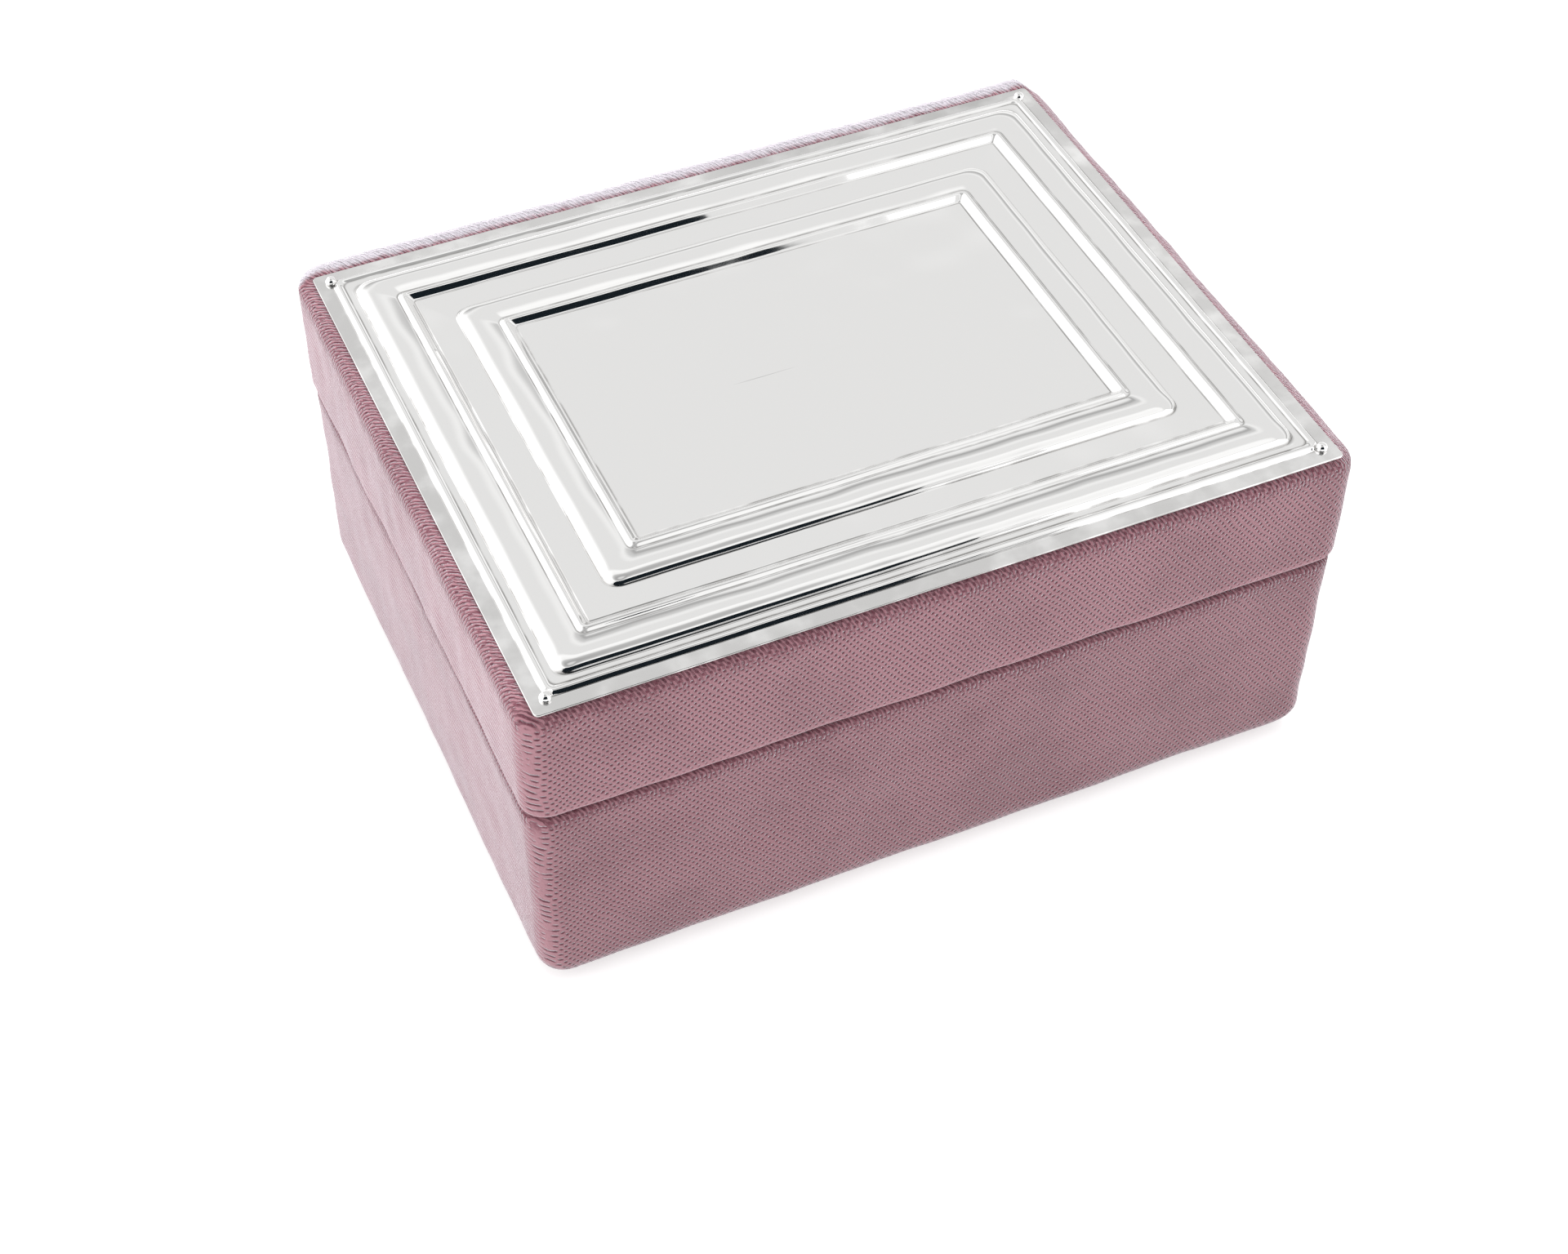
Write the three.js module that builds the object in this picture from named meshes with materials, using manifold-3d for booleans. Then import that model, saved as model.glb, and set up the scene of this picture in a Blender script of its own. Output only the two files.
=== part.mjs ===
// Velvet-covered jewelry box with a stamped silver plate on its hinged lid.
// Units are millimetres, +Z is up. The origin is the middle of the underside.
// The long front side faces -Y and the hinges are on the back side, +Y.

import * as THREE from 'three';
import { mergeVertices } from 'three/addons/utils/BufferGeometryUtils.js';
import Module from 'manifold-3d';

const wasm = await Module();
wasm.setup();

// ---- driving dimensions ----------------------------------------------------

const GAP = 0.3; // clearance between pieces that touch

const BASE_WIDTH = 166.6; // outside of the velvet
const BASE_DEPTH = 131.4;
const BASE_RIM_Z = 50;
const LID_OVERHANG = 0.5; // the lid stands proud of the base on every side
const LID_HEIGHT = 27.9; // from the lid's rim to the velvet under the plate
const LID_RIM_Z = BASE_RIM_Z + GAP;

const CORNER_RADIUS = 5; // upright edges, seen from above
const BOTTOM_FILLET = 7;
const LID_TOP_FILLET = 3.5;
const RIM_FILLET = 0.8; // velvet turning over the rim

const VELVET = 1.2;
const BOARD = 5; // wall boards
const PANEL = 4; // floor board and lid top board
const CARD = 1.5; // fabric-covered lining cards
const FELT = 1.5; // panel glued under the floor

const HEM = 4; // velvet turned under the floor, past the bottom fillet
const VELVET_LIFT = GAP; // the felt stands proud of the velvet by this much

const PLATE_WIDTH = 160;
const PLATE_DEPTH = 127;
const PLATE_X = -0.9; // the plate's middle, left of the lid's middle
const PLATE_Y = -2.6; // and nearer the front, so a wider strip of velvet shows behind
const SHEET = 0.4; // thickness of the stamped sheet
const NAIL_INSET = 3.13; // the nails' middles, from the plate's edges
const NAIL_SHANK = 0.5;
const NAIL_HEAD = 1.1;

const DIVIDER = 1.8;
const DIVIDER_TOP_Z = 43.5;
const DIVIDER_X = -13; // the long divider's middle, left of centre
const CROSS_Y = 4; // the cross divider's middle
const ROLL_COUNT = 7;
const RING_BED_HEIGHT = 18;

const MIRROR_WIDTH = 120;
const MIRROR_DEPTH = 86;
const MIRROR_GLASS = 2;
const FRAME_LIP = 4; // how far the frame covers the mirror's edge
const FRAME_FRONT = 3; // frame material in front of the glass

const HINGE_X = 48; // each hinge's middle, either side of centre
const HINGE_LENGTH = 28;
const HINGE_SETBACK = 1.2; // the pin's axis behind the base's back face
const KNUCKLE_RADIUS = 2;
const KNUCKLE_BORE = 1.1;
const MIDDLE_KNUCKLE = 9.4; // length of the lid leaf's knuckle
const PIN_RADIUS = 0.8;
const LEAF = 1; // thickness of a leaf
const LEAF_WIDTH = 6.4; // from the pin's axis to the leaf's inner edge
const SCREW_X = 9; // either side of the hinge's middle
const SCREW_INSET = 5; // from the pin's axis
const SCREW_LENGTH = 6;

const ROUND_STEPS = 5; // steps in a quarter of a large round
const SMALL_SIDES = 12; // sides of pins, screws and nails

// ---- derived places --------------------------------------------------------

const LID_WIDTH = BASE_WIDTH + 2 * LID_OVERHANG;
const LID_DEPTH = BASE_DEPTH + 2 * LID_OVERHANG;
const SKIN = VELVET + GAP; // velvet and the glue gap behind it

const CORE_WIDTH = BASE_WIDTH - 2 * SKIN; // outside of the base's boards
const CORE_DEPTH = BASE_DEPTH - 2 * SKIN;
const INNER_WIDTH = CORE_WIDTH - 2 * BOARD; // between the wall boards
const INNER_DEPTH = CORE_DEPTH - 2 * BOARD;
const LINED_WIDTH = INNER_WIDTH - 2 * (CARD + GAP); // between the lining cards
const LINED_DEPTH = INNER_DEPTH - 2 * (CARD + GAP);

const CORE_BOTTOM_Z = VELVET_LIFT + SKIN;
const CORE_TOP_Z = BASE_RIM_Z - SKIN;
const FLOOR_TOP_Z = CORE_BOTTOM_Z + PANEL;
const LINING_FLOOR_Z = FLOOR_TOP_Z + GAP + CARD;

const LID_BOARD_WIDTH = (LID_WIDTH - 2 * SKIN - INNER_WIDTH) / 2;
const LID_CORE_TOP = LID_HEIGHT - SKIN;
const LID_CEILING = LID_CORE_TOP - PANEL;

const HINGE_Y = BASE_DEPTH / 2 + HINGE_SETBACK;
const HINGE_Z = BASE_RIM_Z + GAP / 2;

// ---- materials -------------------------------------------------------------

function material(color, roughness, metalness = 0) {
  return new THREE.MeshStandardMaterial({ color, roughness, metalness });
}

const velvetPink = material(0xc49aa6, 0.95);
const liningCream = material(0xe9dcd6, 0.85);
const boardWood = material(0xc9a878, 0.75);
const feltPink = material(0xb98a96, 0.98);
const silver = material(0xe4e4e6, 0.12, 1);
const filler = material(0x8f8f8c, 0.7);
const brass = material(0xd8b25a, 0.3, 1);
const mirrorGlass = material(0xdfe6ea, 0.04, 1);

// ---- geometry helpers ------------------------------------------------------

// Points of a rounded rectangle, anticlockwise from above.
function roundedRectangle(width, depth, radius, steps) {
  const points = [];
  const corners = [[1, 1], [-1, 1], [-1, -1], [1, -1]];
  corners.forEach(([sideX, sideY], quarter) => {
    for (let step = 0; step <= steps; step += 1) {
      const angle = (quarter + step / steps) * Math.PI / 2;
      points.push([
        sideX * (width / 2 - radius) + radius * Math.cos(angle),
        sideY * (depth / 2 - radius) + radius * Math.sin(angle),
      ]);
    }
  });
  return points;
}

// A closed solid through a row of rounded rectangles { width, depth, radius, z },
// with a flat cap on the first and on the last.
function loft(sections, steps) {
  const rings = sections.map(({ width, depth, radius, z }) => (
    roundedRectangle(width, depth, radius, steps).map(([x, y]) => [x, y, z])
  ));
  const count = rings[0].length;
  const index = [];
  for (let ring = 0; ring < rings.length - 1; ring += 1) {
    for (let side = 0; side < count; side += 1) {
      const next = (side + 1) % count;
      const a = ring * count + side;
      const b = ring * count + next;
      index.push(a, b, b + count);
      index.push(a, b + count, a + count);
    }
  }
  const top = (rings.length - 1) * count;
  for (let side = 1; side < count - 1; side += 1) {
    index.push(0, side + 1, side);
    index.push(top, top + side, top + side + 1);
  }
  const geometry = new THREE.BufferGeometry();
  geometry.setAttribute('position', new THREE.Float32BufferAttribute(rings.flat(2), 3));
  geometry.setIndex(index);
  return geometry;
}

// A block from its low corner to its high corner.
function block([x0, y0, z0], [x1, y1, z1]) {
  const geometry = new THREE.BoxGeometry(x1 - x0, y1 - y0, z1 - z0);
  return geometry.translate((x0 + x1) / 2, (y0 + y1) / 2, (z0 + z1) / 2);
}

// A block centred on the Z axis.
function centredBlock(width, depth, z0, z1) {
  return block([-width / 2, -depth / 2, z0], [width / 2, depth / 2, z1]);
}

// A cylinder along X, from x0 to x1.
function cylinderAlongX(radius, x0, x1, sides = SMALL_SIDES) {
  const geometry = new THREE.CylinderGeometry(radius, radius, x1 - x0, sides);
  return geometry.rotateZ(Math.PI / 2).translate((x0 + x1) / 2, 0, 0);
}

// A solid of revolution about Z through [radius, z] points listed upwards.
function turned(profile, sides = SMALL_SIDES) {
  const points = profile.map(([radius, z]) => new THREE.Vector2(radius, z));
  return new THREE.LatheGeometry(points, sides).rotateX(Math.PI / 2);
}

function toSolid(geometry) {
  const bare = geometry.clone();
  bare.deleteAttribute('normal');
  bare.deleteAttribute('uv');
  const merged = mergeVertices(bare, 1e-4);
  const mesh = new wasm.Mesh({
    numProp: 3,
    vertProperties: new Float32Array(merged.attributes.position.array),
    triVerts: new Uint32Array(merged.index.array),
  });
  return new wasm.Manifold(mesh);
}

function toGeometry(solid) {
  const { vertProperties, triVerts } = solid.getMesh();
  const geometry = new THREE.BufferGeometry();
  geometry.setAttribute('position', new THREE.BufferAttribute(vertProperties, 3));
  geometry.setIndex(new THREE.BufferAttribute(triVerts, 1));
  return geometry;
}

function cut(geometry, ...tools) {
  const solid = tools.reduce((rest, tool) => rest.subtract(toSolid(tool)), toSolid(geometry));
  return toGeometry(solid);
}

function join(geometry, ...others) {
  const solid = others.reduce((whole, other) => whole.add(toSolid(other)), toSolid(geometry));
  return toGeometry(solid);
}

function intersection(geometry, other) {
  return toGeometry(toSolid(geometry).intersect(toSolid(other)));
}

function piece(name, geometry, finish, position = [0, 0, 0]) {
  const mesh = new THREE.Mesh(geometry, finish);
  mesh.name = name;
  mesh.position.set(...position);
  return mesh;
}

// ---- rounded outer forms ---------------------------------------------------

// Sections of a rounded edge: lift is measured from the flat face inwards.
function filletSections(width, depth, fillet, corner, heightAt) {
  const sections = [];
  for (let step = 0; step <= ROUND_STEPS; step += 1) {
    const angle = step / ROUND_STEPS * Math.PI / 2;
    const inset = fillet * (1 - Math.sin(angle));
    sections.push({
      width: width - 2 * inset,
      depth: depth - 2 * inset,
      radius: corner,
      z: heightAt(fillet * (1 - Math.cos(angle))),
    });
  }
  return sections;
}

// A rounded box with one fillet round its bottom and another round its top.
function roundedBox(width, depth, z0, z1, corner, bottomFillet, topFillet) {
  const lower = filletSections(width, depth, bottomFillet, corner, (lift) => z0 + lift);
  const upper = filletSections(width, depth, topFillet, corner, (lift) => z1 - lift);
  return loft([...lower, ...upper.reverse()], ROUND_STEPS);
}

// ---- velvet covers ---------------------------------------------------------

const hingeSides = [['left', -1], ['right', 1]];

// Room in a velvet cover for one hinge's knuckles and leaf.
function hingeRooms(z0, z1) {
  const half = HINGE_LENGTH / 2 + GAP;
  return hingeSides.flatMap(([, side]) => {
    const x = side * HINGE_X;
    const leafRoom = block(
      [x - half, HINGE_Y - LEAF_WIDTH - GAP, z0],
      [x + half, HINGE_Y + KNUCKLE_RADIUS, z1],
    );
    const knuckleRoom = cylinderAlongX(KNUCKLE_RADIUS + GAP, x - half - CARD, x + half + CARD);
    return [leafRoom, knuckleRoom.translate(0, HINGE_Y, HINGE_Z)];
  });
}

function baseVelvet() {
  const outside = roundedBox(
    BASE_WIDTH, BASE_DEPTH, VELVET_LIFT, BASE_RIM_Z, CORNER_RADIUS, BOTTOM_FILLET, RIM_FILLET,
  );
  const boards = roundedBox(
    BASE_WIDTH - 2 * VELVET, BASE_DEPTH - 2 * VELVET, VELVET_LIFT + VELVET, BASE_RIM_Z - VELVET,
    CORNER_RADIUS - VELVET, BOTTOM_FILLET - VELVET, RIM_FILLET,
  );
  const hollow = centredBlock(INNER_WIDTH, INNER_DEPTH, BASE_RIM_Z - 2 * VELVET, BASE_RIM_Z + VELVET);
  const feltInset = 2 * (BOTTOM_FILLET + HEM);
  const feltRoom = centredBlock(BASE_WIDTH - feltInset, BASE_DEPTH - feltInset, -VELVET, 2 * SKIN);
  return cut(outside, boards, hollow, feltRoom, ...hingeRooms(BASE_RIM_Z - SKIN, BASE_RIM_Z + SKIN));
}

// Built with the lid's rim at z = 0.
function lidVelvet() {
  const outside = roundedBox(
    LID_WIDTH, LID_DEPTH, 0, LID_HEIGHT, CORNER_RADIUS, RIM_FILLET, LID_TOP_FILLET,
  );
  const boards = roundedBox(
    LID_WIDTH - 2 * VELVET, LID_DEPTH - 2 * VELVET, VELVET, LID_HEIGHT - VELVET,
    CORNER_RADIUS - VELVET, RIM_FILLET, LID_TOP_FILLET - VELVET,
  );
  const hollow = centredBlock(INNER_WIDTH, INNER_DEPTH, -VELVET, 2 * VELVET);
  const rooms = hingeRooms(LID_RIM_Z - SKIN, LID_RIM_Z + SKIN);
  rooms.forEach((room) => room.translate(0, 0, -LID_RIM_Z));
  return cut(outside, boards, hollow, ...rooms, ...nailHoles());
}

// ---- boards of the core ----------------------------------------------------

// Four wall boards cut from a rounded core: the ends run the full depth and
// the front and back stand between them.
function wallBoards(core, z0, z1) {
  const farX = LID_WIDTH;
  const farY = LID_DEPTH;
  const innerX = INNER_WIDTH / 2;
  const innerY = INNER_DEPTH / 2;
  const regions = {
    left: block([-farX, -farY, z0], [-innerX, farY, z1]),
    right: block([innerX, -farY, z0], [farX, farY, z1]),
    front: block([-innerX + GAP, -farY, z0], [innerX - GAP, -innerY, z1]),
    back: block([-innerX + GAP, innerY, z0], [innerX - GAP, farY, z1]),
  };
  return Object.entries(regions).map(([side, region]) => [side, intersection(core, region)]);
}

// Holes for the hinge screws, through a board's edge between z0 and z1.
function screwHoles(z0, z1) {
  return hingeSides.flatMap(([, side]) => [-SCREW_X, SCREW_X].map((offset) => {
    const hole = new THREE.CylinderGeometry(PIN_RADIUS + GAP, PIN_RADIUS + GAP, z1 - z0, SMALL_SIDES);
    return hole.rotateX(Math.PI / 2).translate(
      side * HINGE_X + offset, HINGE_Y - SCREW_INSET, (z0 + z1) / 2,
    );
  }));
}

function baseBoards() {
  const core = roundedBox(
    CORE_WIDTH, CORE_DEPTH, CORE_BOTTOM_Z, CORE_TOP_Z,
    CORNER_RADIUS - SKIN, BOTTOM_FILLET - SKIN, RIM_FILLET,
  );
  const walls = wallBoards(core, CORE_BOTTOM_Z - 1, CORE_TOP_Z + 1);
  const floor = intersection(core, centredBlock(
    INNER_WIDTH - 2 * GAP, INNER_DEPTH - 2 * GAP, CORE_BOTTOM_Z, FLOOR_TOP_Z,
  ));
  const holes = screwHoles(CORE_TOP_Z - SCREW_LENGTH, CORE_TOP_Z + 1);
  return [
    ...walls.map(([side, wall]) => piece(
      `base_${side}_board`, side === 'back' ? cut(wall, ...holes) : wall, boardWood,
    )),
    piece('base_floor_board', floor, boardWood),
  ];
}

function lidBoards() {
  const core = roundedBox(
    LID_WIDTH - 2 * SKIN, LID_DEPTH - 2 * SKIN, SKIN, LID_CORE_TOP,
    CORNER_RADIUS - SKIN, RIM_FILLET, LID_TOP_FILLET - SKIN,
  );
  const walls = wallBoards(core, 0, LID_CEILING - GAP);
  const top = intersection(core, centredBlock(LID_WIDTH, LID_DEPTH, LID_CEILING, LID_HEIGHT));
  const holes = screwHoles(0, SKIN + SCREW_LENGTH);
  return [
    ...walls.map(([side, wall]) => piece(
      `lid_${side}_board`, side === 'back' ? cut(wall, ...holes) : wall, boardWood,
    )),
    piece('lid_top_board', cut(top, ...nailHoles()), boardWood),
  ];
}

// ---- lining cards ----------------------------------------------------------

// Cards on the four inner walls, between z0 and z1.
function wallCards(prefix, z0, z1) {
  const x = INNER_WIDTH / 2 - GAP;
  const y = INNER_DEPTH / 2 - GAP;
  const shortX = x - CARD - GAP;
  return [
    piece(`${prefix}_left_lining`, block([-x, -y, z0], [-x + CARD, y, z1]), liningCream),
    piece(`${prefix}_right_lining`, block([x - CARD, -y, z0], [x, y, z1]), liningCream),
    piece(`${prefix}_front_lining`, block([-shortX, -y, z0], [shortX, -y + CARD, z1]), liningCream),
    piece(`${prefix}_back_lining`, block([-shortX, y - CARD, z0], [shortX, y, z1]), liningCream),
  ];
}

function baseLining() {
  const floor = centredBlock(
    INNER_WIDTH - 2 * GAP, INNER_DEPTH - 2 * GAP, FLOOR_TOP_Z + GAP, LINING_FLOOR_Z,
  );
  return [
    piece('base_floor_lining', floor, liningCream),
    ...wallCards('base', LINING_FLOOR_Z + GAP, BASE_RIM_Z - GAP),
  ];
}

// ---- compartments and ring rolls -------------------------------------------

function dividers() {
  const z0 = LINING_FLOOR_Z + GAP;
  const halfX = LINED_WIDTH / 2 - GAP;
  const halfY = LINED_DEPTH / 2 - GAP;
  const edge = DIVIDER_X + DIVIDER / 2;
  return [
    piece('long_divider', block(
      [DIVIDER_X - DIVIDER / 2, -halfY, z0], [edge, halfY, DIVIDER_TOP_Z],
    ), liningCream),
    piece('cross_divider', block(
      [edge + GAP, CROSS_Y - DIVIDER / 2, z0], [halfX, CROSS_Y + DIVIDER / 2, DIVIDER_TOP_Z],
    ), liningCream),
  ];
}

function ringRolls() {
  const x0 = -LINED_WIDTH / 2 + GAP;
  const x1 = DIVIDER_X - DIVIDER / 2 - GAP;
  const halfY = LINED_DEPTH / 2 - GAP;
  const bedZ = LINING_FLOOR_Z + GAP;
  const bed = piece(
    'ring_bed', block([x0, -halfY, bedZ], [x1, halfY, bedZ + RING_BED_HEIGHT]), liningCream,
  );
  const pitch = 2 * halfY / ROLL_COUNT;
  const radius = (pitch - GAP) / 2;
  const rollZ = bedZ + RING_BED_HEIGHT + GAP + radius;
  const rolls = Array.from({ length: ROLL_COUNT }, (_, index) => piece(
    `ring_roll_${index + 1}`, cylinderAlongX(radius, x0, x1), liningCream,
    [0, -halfY + pitch * (index + 0.5), rollZ],
  ));
  return [bed, ...rolls];
}

// ---- mirror in the lid -----------------------------------------------------

function mirrorParts() {
  const glassTop = LID_CEILING - GAP;
  const glassBottom = glassTop - MIRROR_GLASS;
  const frameBottom = glassBottom - GAP - FRAME_FRONT;
  const frame = cut(
    centredBlock(LINED_WIDTH - 2 * GAP, LINED_DEPTH - 2 * GAP, frameBottom, glassTop),
    centredBlock(MIRROR_WIDTH - 2 * FRAME_LIP, MIRROR_DEPTH - 2 * FRAME_LIP, 0, LID_HEIGHT),
    centredBlock(MIRROR_WIDTH + 2 * GAP, MIRROR_DEPTH + 2 * GAP, glassBottom - GAP, LID_HEIGHT),
  );
  return [
    piece('mirror_frame', frame, liningCream),
    piece('mirror', centredBlock(MIRROR_WIDTH, MIRROR_DEPTH, glassBottom, glassTop), mirrorGlass),
  ];
}

// ---- stamped silver plate --------------------------------------------------

// One moulding of the plate, from its outer foot inwards: a quarter-round, a
// falling crown, a crease, a bead and a bevel down to the next flat. Each entry
// is [inset from the moulding's foot, height above the foot, corner radius].
function moulding(foot) {
  const rise = 1.15;
  const roundWidth = 2.8;
  const profile = [];
  for (let step = 0; step <= ROUND_STEPS; step += 1) {
    const angle = step / ROUND_STEPS * Math.PI / 2;
    profile.push([roundWidth * (1 - Math.cos(angle)), rise * Math.sin(angle), 3]);
  }
  profile.push([6.6, 1, 1.5], [7, 0.8, 1.4], [7.4, 1, 1.3]);
  profile.push([8.1, 1.12, 1.2], [8.9, 1.02, 0.6], [9.7, foot.innerFlat, 0.4]);
  return profile.map(([inset, height, radius]) => ({
    inset: foot.inset + inset,
    height: foot.height + height,
    radius,
  }));
}

// The plate's whole section, from its outer edge to the central flat.
function plateProfile() {
  return [
    { inset: 0, height: 0, radius: 1 },
    { inset: 3, height: 0.15, radius: 1 },
    { inset: 3.6, height: 0.6, radius: 1.2 },
    { inset: 4.3, height: 0.75, radius: 1.2 },
    { inset: 5.2, height: 0.6, radius: 1.4 },
    { inset: 6.2, height: 0.45, radius: 2 },
    ...moulding({ inset: 6.5, height: 0.45, innerFlat: 0.45 }),
    ...moulding({ inset: 22, height: 0.75, innerFlat: 0.35 }),
  ];
}

function plateSection({ inset, height, radius }) {
  return { width: PLATE_WIDTH - 2 * inset, depth: PLATE_DEPTH - 2 * inset, radius, z: height };
}

function nailPlaces() {
  const ends = [['front', -1], ['back', 1]];
  const sides = [['left', -1], ['right', 1]];
  return ends.flatMap(([end, signY]) => sides.map(([side, signX]) => ({
    name: `plate_nail_${end}_${side}`,
    x: PLATE_X + signX * (PLATE_WIDTH / 2 - NAIL_INSET),
    y: PLATE_Y + signY * (PLATE_DEPTH / 2 - NAIL_INSET),
  })));
}

// Holes through the plate, the velvet and the top board, with the lid's rim at z = 0.
function nailHoles() {
  const radius = NAIL_SHANK + GAP;
  return nailPlaces().map(({ x, y }) => {
    const hole = new THREE.CylinderGeometry(radius, radius, LID_HEIGHT, 8);
    return hole.rotateX(Math.PI / 2).translate(x, y, LID_CEILING + LID_HEIGHT / 2 - 1);
  });
}

function plateParts() {
  const profile = plateProfile();
  const sheetBottom = LID_HEIGHT + GAP;
  const edgeZ = sheetBottom + SHEET;
  const upper = profile.map(plateSection);
  const lower = upper.map((section) => ({ ...section, z: section.z - SHEET }));
  const sheet = loft([...lower.reverse(), ...upper], 3).translate(PLATE_X, PLATE_Y, edgeZ);

  const backed = profile.filter(({ inset }) => inset > 6.4).map(plateSection);
  const top = backed.map((section) => ({ ...section, z: section.z - SHEET - GAP }));
  const foot = { ...top[0], z: -SHEET };
  const backing = loft([foot, ...top], 3).translate(PLATE_X, PLATE_Y, edgeZ);
  return [
    piece('silver_plate', cut(sheet, ...nailHoles()), silver),
    piece('plate_backing', backing, filler),
    ...nailPlaces().map(({ name, x, y }) => piece(name, plateNail(), silver, [x, y, edgeZ])),
  ];
}

// A domed nail, measured from the plate's edge at z = 0.
function plateNail() {
  const seat = 0.7; // clear of the plate's bead
  const tip = -(GAP + SHEET + SKIN + PANEL) + 0.5;
  const dome = [[NAIL_HEAD, seat], [NAIL_HEAD * 0.9, seat + 0.35], [NAIL_HEAD * 0.5, seat + 0.65]];
  return turned([
    [0, tip], [NAIL_SHANK, tip + 1], [NAIL_SHANK, seat], ...dome, [0, seat + 0.75],
  ]);
}

// ---- hinges ----------------------------------------------------------------

// A countersunk, slotted screw: its head's face is z = 0 and it points down.
function hingeScrew() {
  const head = 1.4;
  const shank = 0.7;
  const body = turned([
    [0, -SCREW_LENGTH], [shank * 0.6, -SCREW_LENGTH + 0.8], [shank, -SCREW_LENGTH + 1.6],
    [shank, -0.7], [head, -0.1], [head, 0], [0, 0],
  ]);
  return cut(body, centredBlock(0.35, 4, -0.35, 1));
}

// A leaf with its pin's axis on the origin. side is -1 for the base's leaf,
// under the axis with two end knuckles, and 1 for the lid's, above it with one.
function hingeLeaf(side) {
  const half = HINGE_LENGTH / 2;
  const middle = MIDDLE_KNUCKLE / 2;
  const near = GAP * 1.5;
  const low = side < 0 ? -near - LEAF : near;
  const flat = block([-half, -LEAF_WIDTH, low], [half, 0, low + LEAF]);
  const spans = side < 0 ? [[-half, -middle - GAP], [middle + GAP, half]] : [[-middle, middle]];
  const others = side < 0 ? [[-middle - GAP, middle + GAP]] : [[-half - 1, -middle], [middle, half + 1]];
  const knuckles = spans.map(([x0, x1]) => cylinderAlongX(KNUCKLE_RADIUS, x0, x1));
  const clearances = others.map(([x0, x1]) => cylinderAlongX(KNUCKLE_RADIUS + GAP, x0, x1));
  const shaped = join(cut(flat, ...clearances), ...knuckles);
  const holes = [-SCREW_X, SCREW_X].map((x) => screwSeat(side, low).translate(x, -SCREW_INSET, 0));
  return cut(shaped, cylinderAlongX(KNUCKLE_BORE, -half - 1, half + 1), ...holes);
}

// The countersunk hole that a screw sits in, in a leaf whose low face is at low.
// The open face is the one towards the other leaf.
function screwSeat(side, low) {
  const open = side < 0 ? low + LEAF : low;
  const profile = [[0, -2 * LEAF], [1.05, -2 * LEAF], [1.05, -0.7], [1.75, 0], [1.75, LEAF], [0, LEAF]];
  const seat = turned(profile);
  if (side > 0) {
    seat.rotateX(Math.PI);
  }
  return seat.translate(0, 0, open);
}

function hingePin() {
  const half = HINGE_LENGTH / 2;
  const button = 1.5;
  const end = half + GAP;
  const profile = [
    [0, -end - 0.8], [button * 0.8, -end - 0.7], [button, -end - 0.4], [button, -end],
    [PIN_RADIUS, -end], [PIN_RADIUS, end], [button, end], [button, end + 0.4],
    [button * 0.8, end + 0.7], [0, end + 0.8],
  ];
  return turned(profile).rotateY(Math.PI / 2);
}

// The screws of one leaf, with their heads just inside its open face.
function leafScrews(prefix, side) {
  const face = side * GAP * 1.5 + side * 0.05;
  return [-SCREW_X, SCREW_X].map((x, index) => {
    const screw = piece(`${prefix}_screw_${index + 1}`, hingeScrew(), brass, [x, -SCREW_INSET, face]);
    screw.rotation.x = side < 0 ? 0 : Math.PI;
    return screw;
  });
}

function hinges() {
  return hingeSides.map(([name, side]) => {
    const hinge = new THREE.Group();
    hinge.position.set(side * HINGE_X, HINGE_Y, HINGE_Z);
    hinge.add(
      piece(`hinge_${name}_base_leaf`, hingeLeaf(-1), brass),
      piece(`hinge_${name}_lid_leaf`, hingeLeaf(1), brass),
      piece(`hinge_${name}_pin`, hingePin(), brass),
      ...leafScrews(`hinge_${name}_base`, -1),
      ...leafScrews(`hinge_${name}_lid`, 1),
    );
    return hinge;
  });
}

// ---- assembly --------------------------------------------------------------

function feltPanel() {
  const inset = 2 * (BOTTOM_FILLET + HEM + GAP);
  return centredBlock(BASE_WIDTH - inset, BASE_DEPTH - inset, 0, FELT);
}

function base() {
  const group = new THREE.Group();
  group.add(
    piece('base_velvet', baseVelvet(), velvetPink),
    piece('base_felt', feltPanel(), feltPink),
    ...baseBoards(),
    ...baseLining(),
    ...dividers(),
    ...ringRolls(),
  );
  return group;
}

function lid() {
  const group = new THREE.Group();
  group.position.z = LID_RIM_Z;
  group.add(
    piece('lid_velvet', lidVelvet(), velvetPink),
    ...lidBoards(),
    ...wallCards('lid', GAP, LID_CEILING - GAP),
    ...mirrorParts(),
    ...plateParts(),
  );
  return group;
}

const jewelryBox = new THREE.Group();
jewelryBox.add(base(), lid(), ...hinges());

export default jewelryBox;
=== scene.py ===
"""Velvet jewelry box with a stamped silver plate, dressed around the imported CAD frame.

Lengths are in metres, in the frame's own axes: -Y is the front, +Y the hinged back, +Z up.
"""

import math

import bpy
import numpy as np
from mathutils import Matrix, Vector


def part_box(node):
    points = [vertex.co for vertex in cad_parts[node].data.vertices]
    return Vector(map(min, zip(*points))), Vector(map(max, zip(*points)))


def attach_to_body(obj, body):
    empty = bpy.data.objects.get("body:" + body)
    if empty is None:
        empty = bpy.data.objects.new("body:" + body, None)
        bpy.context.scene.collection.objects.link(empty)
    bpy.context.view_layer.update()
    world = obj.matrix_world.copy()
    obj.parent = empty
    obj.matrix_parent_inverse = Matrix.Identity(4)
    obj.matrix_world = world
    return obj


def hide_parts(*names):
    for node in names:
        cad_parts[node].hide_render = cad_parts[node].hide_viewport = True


MM = 0.001

# ---- frame -----------------------------------------------------------------

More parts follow.
